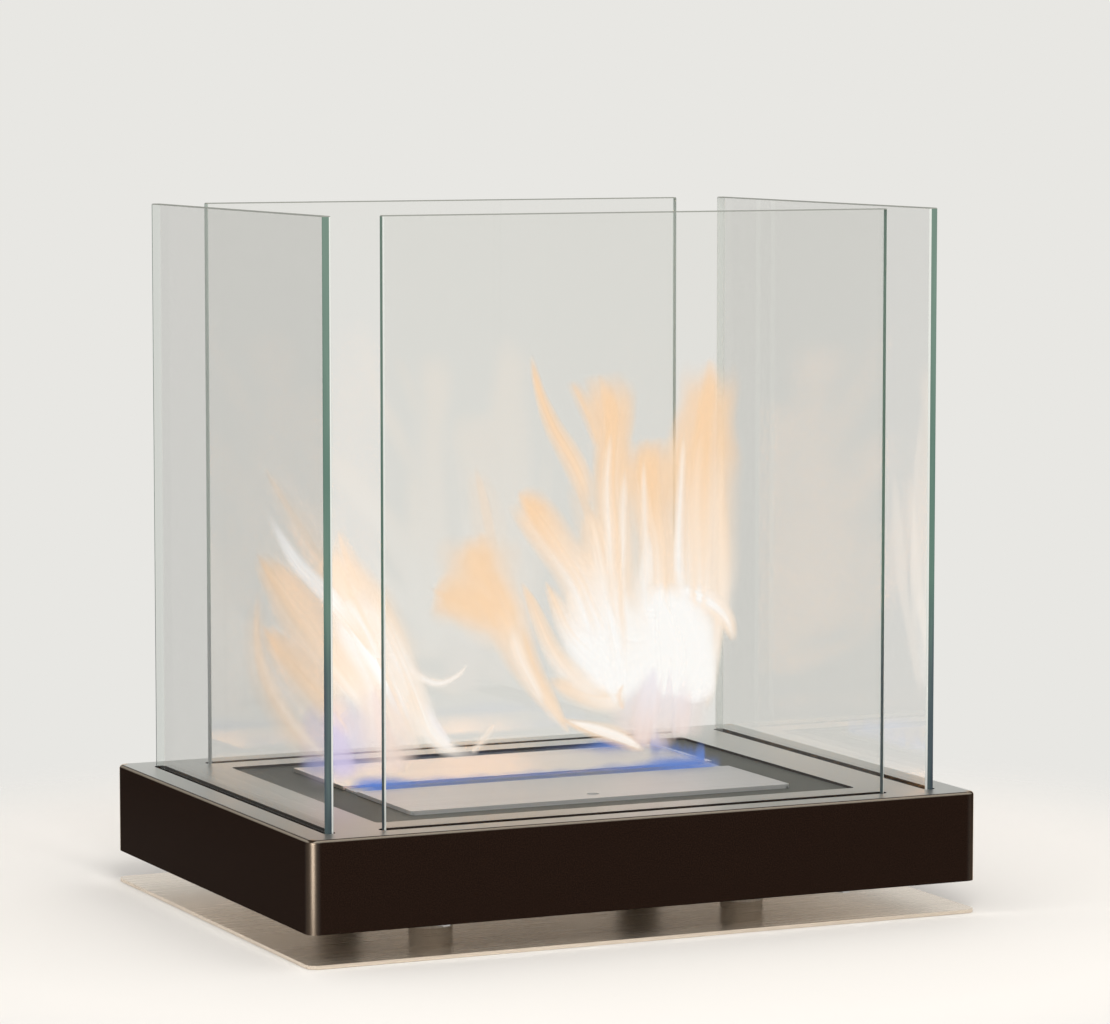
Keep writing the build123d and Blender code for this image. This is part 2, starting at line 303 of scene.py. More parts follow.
def brushed_steel(name, colour, roughness, along=lengthways, tint=None, metallic=1.0):
    """Stainless steel brushed along X, or otherwise, with fine streaks in colour, gloss and relief."""
    finish = Finish(name)
    place = finish.place()
    lines = finish.noise(finish.stretched(place, along), scale=1.0, detail=4.0, roughness=0.65)
    cloud = finish.noise(place, scale=14.0)
    shade = finish.shades(lines.rising(0.2, 0.8), colour, 0.86, 1.12)
    if tint is not None:
        shade = finish.blend(cloud.rising(0.45, 0.75) * 0.35, shade, opaque(tint))
    return finish.done(finish.principled(
        Base_Color=shade, Metallic=metallic, Roughness=lines.about(roughness, spread=0.1) + 0.05 * cloud,
        Normal=finish.bump(lines, distance=0.02 * MM, strength=0.5)))


def seat_rubber(looks):
    """Black rubber with a dull, slightly dusty skin."""
    finish = Finish("seat_rubber")
    dust = finish.noise(finish.place(), scale=400.0, detail=3.0, roughness=0.7)
    shade = finish.shades(dust.rising(0.5, 0.8), looks.rubber, 1.0, 2.0)
    return finish.done(finish.principled(Base_Color=shade, Roughness=dust.about(0.775, spread=0.15)))


def ceramic_fibre(looks):
    """Felted white fibre, with short strands and damp patches."""
    finish = Finish("ceramic_fibre")
    place = finish.place()
    strands = finish.stretched(place, (500.0, 160.0, 400.0))
    strands = finish.noise(strands, scale=1.0, detail=5.0, roughness=0.75)
    damp = finish.noise(place, scale=30.0).rising(0.4, 0.7)
    dry = finish.shades(strands, looks.fibre, 0.8, 1.0)
    shade = finish.blend(damp * 0.5, dry, opaque(looks.fibre, 0.7))
    return finish.done(finish.principled(
        Base_Color=shade, Roughness=0.95, Normal=finish.bump(strands, distance=0.4 * MM, strength=0.8)))


def pane_glass(looks, side):
    """Clear glass. Its ends show green from outside, with a highlight painted along one arris, and are clear
    from within.
    """
    finish = Finish("pane_glass_" + side)
    low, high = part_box(side + "_pane")
    x, y, z = finish.axes(finish.place())
    across, half, through, bright_side = (x, high.x, y, low.y)
    if side in ("left", "right"):
        across, half, through, bright_side = (y, high.y, x, high.x if side == "left" else low.x)
    at_end = abs(across) > half - ground_width
    at_top = z > high.z - ground_width
    inside = finish.node("ShaderNodeNewGeometry", output="Backfacing")
    entering = finish.node("ShaderNodeFresnel", inputs={"IOR": looks.glass_ior})
    leaving = finish.node("ShaderNodeFresnel", inputs={"IOR": 1.0 / looks.glass_ior})
    mirror = entering * (1.0 - inside) + leaving * inside
    gloss = finish.node("ShaderNodeBsdfGlossy", inputs={"Color": (1, 1, 1, 1), "Roughness": 0.0})
    face = finish.mixed(mirror, finish.clear(opaque(looks.glass)), gloss)
    height = z.rising(casing_top, pane_top)
    streak = finish.noise(finish.stretched(finish.place(), (300.0, 300.0, 12.0)), scale=1.0, detail=3.0)
    greens = (looks.edge_low, looks.edge_low, looks.edge, looks.edge, looks.edge_high)
    green = finish.ramp(height, (0.0, 0.12, 0.3, 0.6, 1.0), greens)
    green = finish.blend(streak.rising(0.35, 0.75) * 0.35, green, opaque(looks.edge_high, 1.3))
    if side == "back":
        green = finish.blend(0.4, green, opaque(looks.arris_highlight))
    else:
        # Painted highlight: a pale strip painted along the arris on one side of each end, where the ground
        # arris would catch the light.
        arris_highlight = 1.0 - (abs(through - bright_side) > looks.arris_width)
        green = finish.blend(arris_highlight * 0.85, green, opaque(looks.arris_highlight))
    ground = finish.blend(at_top, green, opaque(looks.edge_top))
    outer_end = finish.principled(Base_Color=ground, Roughness=0.6, Specular_IOR_Level=0.1)
    inner_end = finish.mixed(entering, finish.clear(opaque(looks.edge_through)), outer_end)
    if side == "right":
        frosted = finish.principled(Base_Color=opaque(looks.arris_highlight), Roughness=0.6, Specular_IOR_Level=0.1)
        inner_end = finish.mixed(looks.frosting, inner_end, frosted)
    edge = finish.mixed(inside, outer_end, inner_end)
    return finish.done(finish.mixed(at_end.either(at_top), face, edge))


def flame_gas(looks):
    """Glowing gas: soft at its rims, faintly streaked, peach outside and white where hottest."""
    finish = Finish("flame_gas")
    across, along, _ = finish.axes(finish.node("ShaderNodeUVMap", {"uv_map": "Shape"}))
    flow = finish.node("ShaderNodeUVMap", {"uv_map": "Flow"})
    burning = finish.node("ShaderNodeAttribute", {"attribute_name": "Flame"}, output="Vector")
    heat, cover, cool = finish.axes(burning)
    streaks = finish.noise(finish.stretched(flow, (0.9, 0.1, 1.0)), scale=1.0, detail=0.0)
    streaks = streaks.rising(0.25, 0.75)
    cloud = finish.noise(finish.stretched(flow, (0.4, 0.2, 1.0)), scale=1.0, detail=1.0)
    offset = abs(2.0 * across - 1.0)
    rim = 1.0 - (offset + 0.5 * (cloud - 0.5)).rising(looks.flame_rim, 0.95)
    sides = 1.0 - offset.rising(0.75, 1.0)
    ends = along.rising(0.0, looks.root_fade) * (1.0 - (along + 0.08 * (streaks - 0.5)).rising(0.76, 0.98))
    close = 1.0 - along.rising(0.95, 1.0)
    thick = rim * sides * ends * close * streaks.about(0.975, spread=0.15) * cover * looks.flame_cover
    hot = (heat + 0.2 * (streaks - 0.5) - 0.12 * offset).limited()
    glow = finish.ramp(hot, (0.0, 0.4, 0.75), (looks.flame_outer, looks.flame_pale, looks.flame_white))
    glow = finish.blend(cool, glow, opaque(looks.lavender))
    seen = finish.node("ShaderNodeEmission", inputs={"Color": glow, "Strength": looks.flame_strength})
    echo = {"Color": opaque(looks.flame_true), "Strength": looks.echo_strength}
    mirrored = finish.node("ShaderNodeEmission", inputs=echo)
    bounces = finish.node("ShaderNodeLightPath", output="Glossy Depth")
    share = looks.first_echo * (bounces > 0.5) + (1.0 - looks.first_echo) * (bounces > 1.5)
    return finish.glowing(thick, finish.mixed(share, seen, mirrored))


def blue_gas(name, looks, share):
    """Blue foot of the flames: strongest low down and towards its ends, with a share all along it."""
    finish = Finish(name)
    across, along, _ = finish.axes(finish.node("ShaderNodeUVMap", {"uv_map": "Shape"}))
    lanes = finish.node("ShaderNodeCombineXYZ", inputs={0: 9.0 * across, 1: 0.5 * along, 2: 0.0})
    streaks = finish.noise(lanes, scale=1.0, detail=1.0)
    ends = across.rising(0.0, 0.05) * (1.0 - across.rising(0.95, 1.0))
    outward = share + 0.5 * (1.0 - across.rising(0.05, 0.3)) + 0.8 * across.rising(0.72, 0.92)
    height = 1.0 - (along + 0.6 * (streaks - 0.5)).rising(0.0, 0.25 + 0.55 * outward)
    cover = ends * outward * height ** 1.5 * looks.blue_cover
    glow = {"Color": opaque(looks.blue), "Strength": looks.blue_strength}
    return finish.glowing(cover, finish.node("ShaderNodeEmission", inputs=glow))


# -------- modelling helpers
def start_fresh():
    """Object mode with nothing selected."""
    if bpy.context.object and bpy.context.object.mode != "OBJECT":
        bpy.ops.object.mode_set(mode="OBJECT")
    bpy.ops.object.select_all(action="DESELECT")


def settle(piece, name, material):
    """Names a piece, gives it its finish and moves its place into its mesh."""
    start_fresh()
    piece.select_set(True)
    bpy.context.view_layer.objects.active = piece
    bpy.ops.object.transform_apply(location=True, rotation=True, scale=True)
    piece.name = piece.data.name = name
    piece.data.materials.clear()
    piece.data.materials.append(material)
    bpy.ops.object.shade_smooth()
    return piece


def on_line(points, share):
    """A point on the smooth line through some points, at a share of its length."""
    last = len(points) - 1
    span = min(int(share * last), last - 1)
    part = share * last - span
    before, start, end, after = (points[max(0, min(last, span + step))] for step in (-1, 0, 1, 2))
    return 0.5 * (2.0 * start + (end - before) * part
                  + (2.0 * before - 5.0 * start + 4.0 * end - after) * part ** 2
                  + (3.0 * start - before - 3.0 * end + after) * part ** 3)


def petal(route, turn, heat, cover, cool, seed):
    """One petal of a flame tongue: a sphere flattened to a lens and drawn out along the route.

    Shape tells how far across and along the petal a point lies, Flow where it lies in centimetres,
    and Flame its heat, cover and coolness.
    """
    start_fresh()
    bpy.ops.mesh.primitive_uv_sphere_add(segments=petal_sides, ring_count=petal_rings, radius=1.0)
    piece = bpy.context.object
    mesh = piece.data
    facing = Vector((math.sin(turn), -math.cos(turn), 0.0))
    root_heat, tip_heat = heat
    length = sum((end - start).to_3d().length for start, end in zip(route, route[1:]))
    shape, flow = [], []
    for vertex in mesh.vertices:
        share = math.acos(max(-1.0, min(1.0, -vertex.co.z))) / math.pi
        reach = math.hypot(vertex.co.x, vertex.co.y)
        aside, ahead = (vertex.co.x / reach, vertex.co.y / reach) if reach > 0.001 else (0.0, 0.0)
        centre = on_line(route, share)
        above, below = min(1.0, share + petal_step), max(0.0, share - petal_step)
        rise = (on_line(route, above) - on_line(route, below)).to_3d().normalized()
        side = facing.cross(rise).normalized()
        out = rise.cross(side)
        tip = min(share, 1.0 - share, petal_cap) / petal_cap
        closing = math.sqrt(1.0 - (1.0 - tip) ** 2)
        half = 0.5 * max(centre.w, petal_least) * closing
        spot = centre.to_3d() + side * (half * aside) + out * (0.5 * petal_depth * closing * ahead)
        # The noise has no seed, so the eddies differ from run to run.
        spot += petal_wander * noise.noise_vector(spot / petal_eddy)
        vertex.co = spot * MM
        shape.append((0.5 + 0.5 * aside, share))
        flow.append((half * aside * CM_PER_MM + seed, share * length * CM_PER_MM))
    mesh.uv_layers.remove(mesh.uv_layers[0])
    for name, places in (("Shape", shape), ("Flow", flow)):
        layer = mesh.uv_layers.new(name=name)
        for loop in mesh.loops:
            layer.data[loop.index].uv = places[loop.vertex_index]
    gas = mesh.attributes.new("Flame", "FLOAT_VECTOR", "POINT")
    for point, (_, share) in zip(gas.data, shape):
        point.vector = (root_heat + (tip_heat - root_heat) * share, cover, cool)
    return piece


def tongue(route, heat, cover, seed, cool=0.0, sway=0.0, depth=0.6):
    """One flame tongue: crossed petals along a route of (x, z, width), which drifts back by its sway.

    Heat is that of its root and of its tip, and depth is how wide the other petals are to the first.
    """
    last = len(route) - 1
    points = [Vector((x, sway * step / last, z, width)) for step, (x, z, width) in enumerate(route)]
    petals = []
    for number, turn in enumerate(petal_turns):
        share = 1.0 if number == 0 else depth
        line = [Vector((x, y, z, width * share)) for x, y, z, width in points]
        petals.append(petal(line, math.radians(turn), heat, cover, cool, seed + petal_shift * number))
    return petals


def cluster(name, tongues, material):
    """Joins a group of tongues into one piece."""
    made = []
    for number, shape in enumerate(tongues):
        made += tongue(seed=tongue_shift * number, **shape)
    start_fresh()
    for piece in made:
        piece.select_set(True)
    bpy.context.view_layer.objects.active = made[0]
    bpy.ops.object.join()
    return settle(bpy.context.object, name, material)


def burn(piece):
    """A flame rides on the burner, with a mesh of its own."""
    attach(piece, "burner")
    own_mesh(piece)


# -------- shapes of the flames, in millimetres
# Each tongue has a route of (x, z, width) from its root to its tip, and how hot and how thick it burns.
right_tongues = (
    dict(heat=(0.3, 0.0), cover=0.75, sway=6, route=[
        (32, 222, 14), (25, 238, 17), (17, 252, 16), (9, 266, 13), (3, 282, 9), (0, 295, 7),
        (-3, 309, 5)]),
    dict(heat=(0.2, 0.1), cover=0.22, sway=10, route=[
        (42, 178, 26), (37, 200, 28), (32, 220, 24), (27, 240, 16)]),
    dict(heat=(0.72, -0.35), cover=1.0, sway=8, route=[
        (50, 120, 46), (49, 160, 42), (48, 200, 31), (47, 225, 27), (46, 250, 27), (46, 268, 32),
        (45, 284, 36), (43, 300, 32)]),
    dict(heat=(0.1, 0.0), cover=0.35, sway=4, route=[
        (36, 254, 9), (32, 268, 12), (27, 281, 12), (22, 294, 10)]),
    dict(heat=(0.8, 0.5), cover=0.45, sway=-6, route=[
        (46, 160, 9), (42, 200, 9), (40, 235, 8), (40, 264, 5)]),
    dict(heat=(0.7, 0.5), cover=0.4, sway=-8, route=[
        (52, 158, 8), (51, 190, 8), (50, 220, 7), (50, 246, 4)]),
    dict(heat=(0.72, -0.3), cover=0.95, sway=10, route=[
        (80, 120, 42), (79, 160, 38), (78, 195, 36), (75, 212, 44), (74, 230, 50), (73, 246, 58),
        (73, 261, 66)]),
    dict(heat=(0.7, 0.4), cover=0.4, sway=-8, route=[
        (70, 160, 8), (66, 195, 8), (64, 228, 7), (62, 252, 5)]),
    dict(heat=(0.72, -0.3), cover=0.95, sway=-8, route=[
        (98, 118, 40), (101, 160, 48), (102, 192, 54), (101, 222, 58), (100, 246, 54), (102, 268, 44),
        (104, 287, 42), (105, 306, 42)]),
    dict(heat=(0.9, 0.5), cover=0.5, sway=-10, route=[
        (90, 150, 8), (88, 200, 8), (87, 235, 7), (86, 262, 4)]),
    dict(heat=(0.6, 0.4), cover=0.45, sway=-4, route=[
        (112, 120, 8), (115, 170, 8), (115, 220, 8), (113, 276, 6)]),
    dict(heat=(0.5, 0.3), cover=0.45, sway=12, route=[
        (106, 98, 9), (113, 130, 12), (118, 170, 13), (121, 206, 11), (121, 234, 5)]),
    dict(heat=(0.9, -0.1), cover=1.0, sway=-12, route=[
        (42, 142, 32), (34, 160, 32), (24, 178, 30), (12, 195, 27), (0, 211, 28), (-11, 224, 28),
        (-20, 236, 25)]),
    dict(heat=(0.8, 0.2), cover=0.7, sway=3, route=[
        (48, 138, 50), (42, 166, 46), (37, 188, 32), (34, 206, 20), (33, 222, 9)]),
    dict(heat=(1.4, 0.4), cover=1.5, sway=6, depth=0.7, route=[
        (52, 106, 20), (50, 120, 44), (46, 138, 60), (41, 158, 52), (36, 176, 34), (32, 196, 14)]),
    dict(heat=(1.6, 0.7), cover=2.0, sway=-6, depth=0.6, route=[
        (82, 107, 34), (81, 119, 60), (80, 133, 72), (79, 148, 66), (77, 162, 46), (75, 178, 22)]),
    dict(heat=(1.6, 0.7), cover=2.0, sway=8, depth=0.8, route=[
        (99, 103, 22), (98, 117, 36), (96, 133, 38), (94, 150, 34), (91, 166, 18)]),
    dict(heat=(1.2, 0.5), cover=0.5, sway=2, route=[
        (62, 142, 28), (66, 164, 20), (69, 186, 12), (71, 206, 6)]),
    dict(heat=(1.2, 0.5), cover=0.5, sway=5, route=[
        (88, 144, 26), (88, 166, 18), (89, 186, 12), (90, 204, 6)]),
    dict(heat=(0.9, 0.5), cover=1.1, sway=-10, route=[
        (84, 168, 10), (96, 169, 15), (108, 162, 16), (116, 152, 13), (120, 139, 6)]),
    dict(heat=(0.7, 0.7), cover=1.0, sway=-6, route=[
        (66, 80, 3), (58, 85, 6), (48, 90, 8), (37, 94, 8), (26, 97, 5), (16, 99, 2)]),
    dict(heat=(0.25, 0.15), cover=0.55, route=[
        (68, 79, 5), (59, 84, 12), (47, 90, 16), (34, 94, 13), (22, 97, 8), (11, 100, 3)]),
    dict(heat=(0.7, 0.1), cover=0.75, sway=5, route=[
        (42, 110, 18), (25, 123, 20), (11, 140, 16), (1, 157, 12), (-5, 170, 8), (-10, 181, 4)]),
    dict(heat=(1.0, 0.2), cover=0.85, sway=-5, route=[
        (46, 128, 24), (31, 140, 24), (18, 153, 18), (9, 167, 12), (1, 182, 5)]),
    dict(heat=(0.6, 0.15), cover=0.5, sway=3, route=[
        (58, 108, 20), (40, 110, 24), (23, 116, 20), (6, 124, 8)]),
    dict(heat=(0.3, 0.8), cover=0.7, cool=0.3, route=[
        (64, 81, 34), (67, 94, 54), (70, 108, 60), (72, 128, 44)]),
    dict(heat=(0.4, 0.8), cover=0.45, cool=0.3, sway=5, route=[
        (90, 84, 30), (92, 97, 40), (93, 111, 38), (93, 126, 22)]),
    dict(heat=(0.7, 0.9), cover=0.3, cool=0.2, sway=-4, route=[
        (73, 84, 4), (72, 100, 6), (71, 118, 4)]),
    dict(heat=(0.7, 0.9), cover=0.3, cool=0.2, sway=4, route=[
        (86, 84, 4), (86, 98, 6), (88, 114, 4)]),
    dict(heat=(0.1, 0.0), cover=0.2, sway=-8, route=[
        (55, 103, 3), (52, 108, 5), (50, 114, 5), (51, 120, 2)]),
)

middle_tongues = (
    dict(heat=(0.3, -0.1), cover=0.34, sway=8, depth=0.8, route=[
        (-14, 142, 26), (-24, 158, 50), (-30, 172, 60), (-33, 186, 62), (-34, 198, 58), (-34, 209, 50)]),
    dict(heat=(0.15, 0.0), cover=0.4, sway=4, depth=0.8, route=[
        (-20, 152, 20), (-27, 164, 34), (-33, 177, 42), (-36, 189, 44), (-36, 201, 36)]),
    dict(heat=(0.1, 0.0), cover=0.36, sway=-6, depth=0.8, route=[
        (-24, 156, 24), (-37, 164, 38), (-48, 171, 44), (-58, 175, 42), (-67, 178, 36)]),
    dict(heat=(0.1, 0.0), cover=0.36, sway=-2, depth=0.8, route=[
        (-30, 160, 16), (-40, 166, 24), (-50, 171, 24), (-59, 174, 14)]),
    dict(heat=(0.5, 0.1), cover=0.6, sway=4, route=[
        (20, 90, 6), (8, 108, 15), (-4, 128, 23), (-14, 146, 30), (-22, 166, 34), (-28, 188, 28)]),
    dict(heat=(0.7, 0.5), cover=0.5, sway=-4, route=[
        (4, 108, 6), (-4, 124, 11), (-13, 140, 12), (-21, 158, 8)]),
    dict(heat=(0.2, 0.1), cover=0.35, sway=6, route=[
        (20, 90, 6), (9, 112, 11), (-1, 132, 13), (-9, 154, 10)]),
    dict(heat=(0.2, 0.1), cover=0.13, sway=10, route=[
        (-26, 194, 24), (-30, 212, 26), (-33, 230, 22), (-35, 248, 12)]),
)

left_tongues = (
    dict(heat=(0.4, 1.3), cover=1.2, sway=-10, route=[
        (-100, 140, 6), (-108, 153, 9), (-117, 165, 11), (-127, 176, 13), (-137, 186, 13),
        (-148, 197, 11), (-159, 211, 8), (-170, 230, 4)]),
    dict(heat=(0.6, 0.05), cover=0.85, sway=6, route=[
        (-108, 112, 16), (-118, 130, 26), (-130, 149, 34), (-142, 166, 36), (-153, 181, 30),
        (-162, 194, 20), (-170, 206, 9)]),
    dict(heat=(0.5, 0.05), cover=0.6, sway=-8, route=[
        (-114, 96, 14), (-126, 111, 24), (-139, 127, 31), (-151, 141, 28), (-163, 155, 16),
        (-172, 166, 6)]),
    dict(heat=(0.6, 0.5), cover=0.32, sway=4, route=[
        (-126, 84, 8), (-142, 99, 9), (-156, 117, 10), (-165, 136, 10), (-170, 156, 9), (-170, 178, 5)]),
    dict(heat=(0.2, 0.1), cover=0.18, sway=-4, route=[
        (-134, 84, 14), (-154, 108, 22), (-167, 132, 24), (-172, 158, 20), (-172, 186, 10)]),
    dict(heat=(0.6, 0.3), cover=0.85, sway=8, depth=0.5, route=[
        (-72, 86, 20), (-87, 107, 46), (-96, 128, 58), (-102, 148, 60), (-108, 166, 54), (-115, 182, 44),
        (-119, 197, 34), (-121, 211, 24)]),
    dict(heat=(0.72, 0.68), cover=1.0, sway=2, route=[
        (-82, 104, 16), (-91, 122, 36), (-99, 140, 46), (-107, 157, 42), (-116, 175, 24)]),
    dict(heat=(0.75, 0.4), cover=0.6, sway=-6, route=[
        (-36, 83, 6), (-55, 88, 13), (-69, 100, 19), (-78, 117, 22), (-85, 136, 22), (-92, 153, 20),
        (-99, 169, 16), (-106, 186, 6)]),
    dict(heat=(0.9, 0.7), cover=0.5, sway=6, route=[
        (-50, 86, 6), (-66, 98, 16), (-78, 114, 24), (-86, 132, 24), (-92, 150, 14)]),
    dict(heat=(0.4, 0.3), cover=0.3, sway=10, route=[
        (-106, 176, 12), (-111, 190, 15), (-114, 203, 12), (-117, 216, 6)]),
    dict(heat=(0.8, 0.6), cover=0.55, sway=-3, route=[
        (-84, 137, 7), (-73, 129, 6), (-61, 125, 6), (-50, 129, 4), (-44, 136, 2)]),
    dict(heat=(0.2, 0.2), cover=0.14, sway=3, route=[
        (-128, 194, 16), (-143, 215, 19), (-155, 234, 15), (-164, 251, 6)]),
    dict(heat=(0.35, 0.5), cover=0.5, cool=0.25, route=[
        (-84, 77, 34), (-93, 92, 46), (-99, 112, 36), (-102, 128, 18)]),
    dict(heat=(0.2, 0.2), cover=0.4, cool=0.9, route=[
        (-114, 74, 46), (-121, 90, 56), (-127, 107, 46), (-131, 124, 22)]),
    dict(heat=(1.0, 1.0), cover=0.4, cool=0.3, route=[
        (-54, 88, 5), (-60, 96, 9), (-67, 105, 8), (-73, 114, 4)]),
    dict(heat=(0.6, 0.5), cover=0.3, route=[
        (-42, 84, 6), (-35, 91, 8), (-28, 100, 6)]),
)


# -------- what a user may change
def colour_input(name, description, default):
    return bpy.props.FloatVectorProperty(
        name=name, description=description, default=default, size=3, min=0.0, max=1.0, subtype="COLOR")


def share_input(name, description, default, high=1.0):
    return bpy.props.FloatProperty(
        name=name, description=description, default=default, min=0.0, max=high, subtype="FACTOR")


def number_input(name, description, default, **kind):
    return bpy.props.FloatProperty(name=name, description=description, default=default, **kind)


class FireplaceLooks(bpy.types.PropertyGroup):
    """Colours and gloss of the fireplace's finishes."""

    coat: colour_input("Powder coat", "Dark brown coat of the casing", (0.0145, 0.0070, 0.0043))
    # Painted highlight: pale colour painted along the casing's top fold.
    coat_fold_highlight: colour_input("Rubbed coat", "Top fold, where hands rub it", (0.30, 0.26, 0.21))
    coat_roughness: share_input("Coat roughness", "How dull the powder coat is", 0.36)
    coat_satin: share_input("Coat satin", "How much the coat mirrors from the front", 0.0025)
    coat_corner: share_input("Coat corner", "How much more its polished corners mirror", 0.036)
    coat_gloss: share_input("Coat gloss", "How much more it mirrors at a slant", 37.0, 100.0)
    coat_slant: share_input("Coat slant", "How steeply that rises towards the slant", 5.0, 10.0)
    coat_sheen: colour_input("Coat sheen", "Tint of what the coat mirrors", (0.97, 0.985, 0.97))
    corner_sheen: colour_input("Corner sheen", "Tint of what its polished corners mirror", (1.0, 0.82, 0.64))
    frame_paint: colour_input("Frame paint", "Heat-proof paint of the burner's frame", (0.08, 0.085, 0.075))
    inner_paint: colour_input("Inner paint", "Black paint inside the casing", (0.04, 0.04, 0.036))
    steel: colour_input("Base steel", "Brushed plate on the table", (0.82, 0.72, 0.61))
    spacer: colour_input("Spacers", "Sleeves between base plate and casing", (0.90, 0.82, 0.72))
    underside: colour_input("Underside steel", "Plain sheet under the casing", (0.85, 0.80, 0.74))
    burner_steel: colour_input("Burner steel", "Shutter, deck and tank of the burner", (0.56, 0.57, 0.585))
    back_steel: colour_input("Back cover steel", "Cover behind the slot", (0.96, 0.85, 0.80))
    heat_tint: colour_input("Heat tint", "Straw colour of heated steel", (0.76, 0.68, 0.58))
    fastener: colour_input("Fasteners", "Studs, nuts and screws", (0.55, 0.55, 0.56))
    rubber: colour_input("Rubber", "Seats of the panes", (0.05, 0.05, 0.045))
    fibre: colour_input("Fibre", "Ceramic fibre in the tank", (0.80, 0.78, 0.73))
    glass: colour_input("Glass tint", "What one face of a pane lets through", (0.980, 0.981, 0.975))
    glass_ior: number_input("Glass index", "Refractive index of the glass", 1.5, min=1.0, max=2.0)
    edge: colour_input("Glass edge", "Ground edge of a pane at a third of its height", (0.105, 0.19, 0.155))
    edge_high: colour_input("Edge, top", "Ground edge at the top", (0.16, 0.24, 0.20))
    edge_low: colour_input("Edge, foot", "Ground edge at the casing", (0.055, 0.075, 0.095))
    edge_through: colour_input("Edge, through", "What a pane's far end lets through", (0.93, 0.96, 0.945))
    edge_top: colour_input("Edge, upper", "Upper edge of a pane", (0.30, 0.31, 0.28))
    # Painted highlight: pale colour painted along one arris of each pane's ends; the back pane's ends and
    # the right pane's frosted ends take this colour too.
    arris_highlight: colour_input("Arris", "Ground arris that catches the light", (0.86, 0.88, 0.85))
    frosting: share_input("Frosting", "How frosted the right pane's ends look from within", 0.35)
    arris_width: number_input("Arris width", "Width of the bright arris", 1.2 * MM, unit="LENGTH")
    flame_outer: colour_input("Flame", "Peach of the outer flames", (0.97, 0.67, 0.42))
    flame_pale: colour_input("Pale flame", "Cream of the hotter flames", (0.99, 0.80, 0.63))
    flame_white: colour_input("White flame", "White of the hottest flames", (1.0, 0.985, 0.965))
    flame_strength: number_input("Flame strength", "How bright the flames glow", 1.05, min=0.0)
    flame_cover: share_input("Flame cover", "How much the flames hide what is behind", 0.6, 2.0)
    flame_true: colour_input("Mirrored flame", "What panes and steel mirror of a flame", (1.0, 0.50, 0.20))
    echo_strength: number_input("Echo strength", "Brightness of a flame that two panes mirror", 6.0, min=0.0)
    first_echo: share_input("First echo", "Share of that brightness in a single mirror image", 0.04)
    flame_rim: share_input("Flame rim", "Where a tongue begins to fade towards its sides", 0.3)
    root_fade: share_input("Root fade", "Share of a tongue over which it fades in", 0.2)
    blue: colour_input("Blue flame", "Foot of the flames", (0.12, 0.23, 0.62))
    blue_strength: number_input("Blue strength", "How bright the blue foot glows", 1.0, min=0.0)
    blue_cover: share_input("Blue cover", "How much the blue foot hides", 0.7)
    lavender: colour_input("Lavender flame", "Cool, thin parts of the flames", (0.62, 0.56, 0.80))


class FireplaceStage(bpy.types.PropertyGroup):
    """Camera, light and background."""

    floor: colour_input("Floor", "Colour of the floor near the fireplace", (0.96, 0.93, 0.895))
    floor_near: number_input("Floor fade", "Where the floor begins to fade", 0.36, unit="LENGTH")
    floor_radius: number_input("Floor radius", "Where the floor has faded out", 0.62, unit="LENGTH")
    background: colour_input("Background", "Colour behind the fireplace", (0.807, 0.799, 0.769))
    aim: bpy.props.FloatVectorProperty(
        name="Aim", description="Point in the middle of the picture", size=3, subtype="TRANSLATION",
        default=(0.0085, -0.0039, 0.2193))
    azimuth: number_input("Azimuth", "Turn of the camera", math.radians(-24.83), subtype="ANGLE")
    elevation: number_input("Elevation", "Height above the horizon", math.radians(5.41), subtype="ANGLE")
    distance: number_input("Distance", "From the camera to its aim", 2.595, unit="LENGTH")
    lens: number_input("Lens", "Focal length", 149.07, subtype="DISTANCE_CAMERA")
    key_power: number_input("Key light", "Power of the large soft lamp", 24.0, unit="POWER")
    strip_power: number_input("Strip light", "Power of the lamp that lights the corner", 230.0, unit="POWER")
    fill_strength: number_input("Fill light", "Strength of the even light from all round", 0.78, min=0.0)
    fill_colour: colour_input("Fill colour", "Colour of that light", (1.0, 0.99, 0.97))
    room: share_input("Room", "What gloss shows away from the bright backdrop", 0.15)
    behind: share_input("Behind", "How much lighter the room is behind the camera", 0.5)


# -------- operators
class FIREPLACE_OT_casing(bpy.types.Operator):
    """Powder coat on the casing and heat-proof paint on the frame round the burner"""
    bl_idname = "fireplace.casing"
    bl_label = "Casing finishes"

    def execute(self, context):
        looks = context.scene.fireplace_looks
        dress(["casing"], powder_coat(looks))
        frame_paint = heatproof_paint("frame_heatproof_paint", looks.frame_paint, roughness=0.5, gloss=0.06)
        dress(["surround_frame"], frame_paint)
        inner_paint = heatproof_paint("inner_black_paint", looks.inner_paint, roughness=0.28)
        dress([side + "_channel" for side in pane_names], inner_paint)
        underside = brushed_steel("underside_steel", looks.underside, roughness=0.2)
        dress(["bottom_plate", "casing_brackets"], underside)
        dress([side + "_gasket" for side in pane_names], seat_rubber(looks))
        return {"FINISHED"}


class FIREPLACE_OT_base(bpy.types.Operator):
    """Brushed steel on the base plate and its fasteners"""
    bl_idname = "fireplace.base"
    bl_label = "Base finishes"

    def execute(self, context):
        looks = context.scene.fireplace_looks
        plate = brushed_steel("brushed_stainless", looks.steel, roughness=0.24, metallic=0.85)
        dress(["base_plate"], plate)
        turned = brushed_steel("turned_stainless", looks.spacer, roughness=0.6, along=upright, metallic=0.2)
        dress(["spacers"], turned)
        fasteners = ["base_studs", "spacer_nuts", "bottom_screws", "surround_studs", "surround_nuts"]
        dress(fasteners, brushed_steel("fastener_steel", looks.fastener, roughness=0.35, along=upright))
        return {"FINISHED"}


